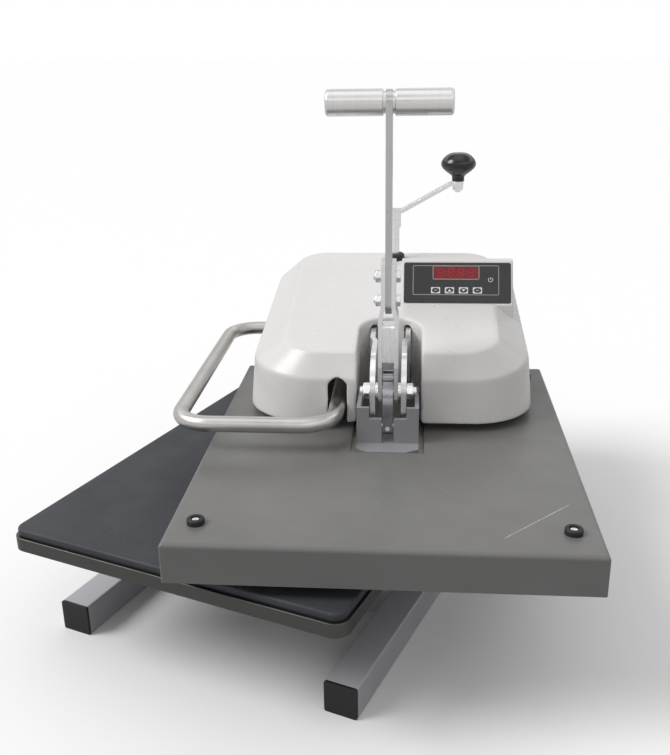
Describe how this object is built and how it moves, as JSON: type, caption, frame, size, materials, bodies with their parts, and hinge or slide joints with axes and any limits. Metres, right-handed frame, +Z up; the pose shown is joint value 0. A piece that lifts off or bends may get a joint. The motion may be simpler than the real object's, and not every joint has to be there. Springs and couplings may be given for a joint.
{
  "type": "heat transfer press",
  "caption": "Tabletop heat press: padded lower table on a tube base, and a heated head that swings about a rear post and is pressed down by a hand lever and toggle link.",
  "frame": {"origin": "on the bench, under the middle of the lower table", "axes": "+X to the operator's right, +Y from the operator to the back, +Z up; the head stands swung 21 degrees open about the post"},
  "size_m": [0.6399, 0.7709, 0.6171],
  "materials": {
    "frame_paint": "satin silver paint",
    "cap_plastic": "matt black",
    "table_metal": "machined, satin",
    "pad_rubber": "matt blue-black",
    "post_steel": "ground",
    "zinc_steel": "bright zinc",
    "dark_steel": "oiled dark steel",
    "shell_plastic": "light warm grey, satin",
    "cover_paint": "semi-gloss mid grey",
    "bracket_paint": "satin grey",
    "platen_metal": "machined",
    "element_steel": "heat-tinted",
    "blanket": "woven glass",
    "handle_nickel": "brushed nickel",
    "grip_metal": "brushed",
    "black_gloss": "glossy black",
    "panel_film": "dark grey film",
    "display_red": "red tinted window",
    "key_white": "white",
    "black_rubber": "matt black",
    "bronze": "bearing bronze",
    "board": "green board"
  },
  "bodies": {
    "base": {"legs": "frame_paint", "leg_end_caps": "cap_plastic", "cross_tubes": "frame_paint", "spine_beam": "frame_paint", "table_bars": "frame_paint", "table_bolts": "zinc_steel", "lower_table": "table_metal", "table_pad": "pad_rubber", "post_flange": "frame_paint", "swing_post": "post_steel", "swing_stop_pins": "zinc_steel"},
    "lift": {"lift_sleeve": "post_steel", "thrust_washer": "bronze"},
    "head": {"head_hub": "frame_paint", "hub_cap": "bronze", "arm_tube": "frame_paint", "pivot_ears": "zinc_steel", "pivot_stud": "zinc_steel", "pivot_nuts": "zinc_steel", "guide_crossbar": "frame_paint", "guide_bushes": "bronze", "return_springs": "dark_steel", "head_shell": "shell_plastic", "crank_collar": "cap_plastic", "swing_handle": "handle_nickel", "handle_clamp": "zinc_steel", "control_box": "shell_plastic", "face_panel": "panel_film", "display_window": "display_red", "circuit_board": "board", "power_inlet": "cap_plastic", "switch_frame": "cap_plastic"},
    "lever": {"lever_plates": "zinc_steel", "lever_bar": "zinc_steel", "lever_spacer": "zinc_steel", "lever_bolts": "zinc_steel", "hand_grips": "grip_metal", "upper_link_pin": "dark_steel"},
    "link": {"toggle_link": "dark_steel", "link_grease_plug": "zinc_steel"},
    "platen": {"platen_cover": "cover_paint", "heat_platen": "platen_metal", "heating_element": "element_steel", "insulation_blanket": "blanket", "platen_bracket": "bracket_paint", "bracket_mounts": "zinc_steel", "lower_link_pin": "zinc_steel", "guide_rods": "zinc_steel", "cover_grommets": "black_rubber", "cover_screws": "zinc_steel"},
    "crank": {"crank_screw": "zinc_steel", "crank_arm": "zinc_steel", "crank_fasteners": "zinc_steel"},
    "knob": {"crank_knob": "black_gloss"},
    "set_button": {"set_key": "key_white"},
    "up_button": {"up_key": "key_white"},
    "down_button": {"down_key": "key_white"},
    "enter_button": {"enter_key": "key_white"},
    "power_button": {"power_key": "key_white"},
    "rocker": {"power_rocker": "cap_plastic"}
  },
  "joints": [
    {"name": "head_height", "type": "slide", "parent": "base", "child": "lift", "axis": [0, 0, 1], "range_m": [0, 0.02]},
    {"name": "head_swing", "type": "hinge", "parent": "lift", "child": "head", "pos_m": [0, 0.375, 0.25], "axis": [0, 0, 1], "range_deg": [-21, 69]},
    {"name": "lever_swing", "type": "hinge", "parent": "head", "child": "lever", "pos_m": [0.1308, 0.03424, 0.275], "axis": [0.9336, 0.3584, 0], "range_deg": [0, 60]},
    {"name": "link_swing", "type": "hinge", "parent": "lever", "child": "link", "pos_m": [0.13192, 0.03132, 0.29273], "axis": [0.9336, 0.3584, 0], "range_deg": [-46.93, 0]},
    {"name": "platen_press", "type": "slide", "parent": "head", "child": "platen", "axis": [0, 0, 1], "range_m": [-0.01214, 0], "deforming": ["return_springs"]},
    {"name": "crank_turn", "type": "hinge", "parent": "base", "child": "crank", "pos_m": [0, 0.375, 0.4], "axis": [0, 0, -1], "range_deg": [0, 2836.6]},
    {"name": "knob_spin", "type": "hinge", "parent": "crank", "child": "knob", "pos_m": [0.08589, 0.40797, 0.48], "axis": [0, 0, 1], "continuous": true},
    {"name": "set_press", "type": "slide", "parent": "head", "child": "set_button", "axis": [-0.3072, 0.8002, -0.515], "range_m": [0, 0.0005]},
    {"name": "up_press", "type": "slide", "parent": "head", "child": "up_button", "axis": [-0.3072, 0.8002, -0.515], "range_m": [0, 0.0005]},
    {"name": "down_press", "type": "slide", "parent": "head", "child": "down_button", "axis": [-0.3072, 0.8002, -0.515], "range_m": [0, 0.0005]},
    {"name": "enter_press", "type": "slide", "parent": "head", "child": "enter_button", "axis": [-0.3072, 0.8002, -0.515], "range_m": [0, 0.0005]},
    {"name": "power_press", "type": "slide", "parent": "head", "child": "power_button", "axis": [-0.3072, 0.8002, -0.515], "range_m": [0, 0.0005]},
    {"name": "rocker_tip", "type": "hinge", "parent": "head", "child": "rocker", "pos_m": [0.08119, 0.47043, 0.262], "axis": [0.9336, 0.3584, 0], "range_deg": [-14, 0]}
  ],
  "couplings": [
    {"joint": "link_swing", "follows": "lever_swing", "ratio": -0.77389},
    {"joint": "platen_press", "follows": "lever_swing", "m_per_rad": -0.011498},
    {"joint": "crank_turn", "follows": "head_height", "rad_per_m": 2473.7}
  ]
}
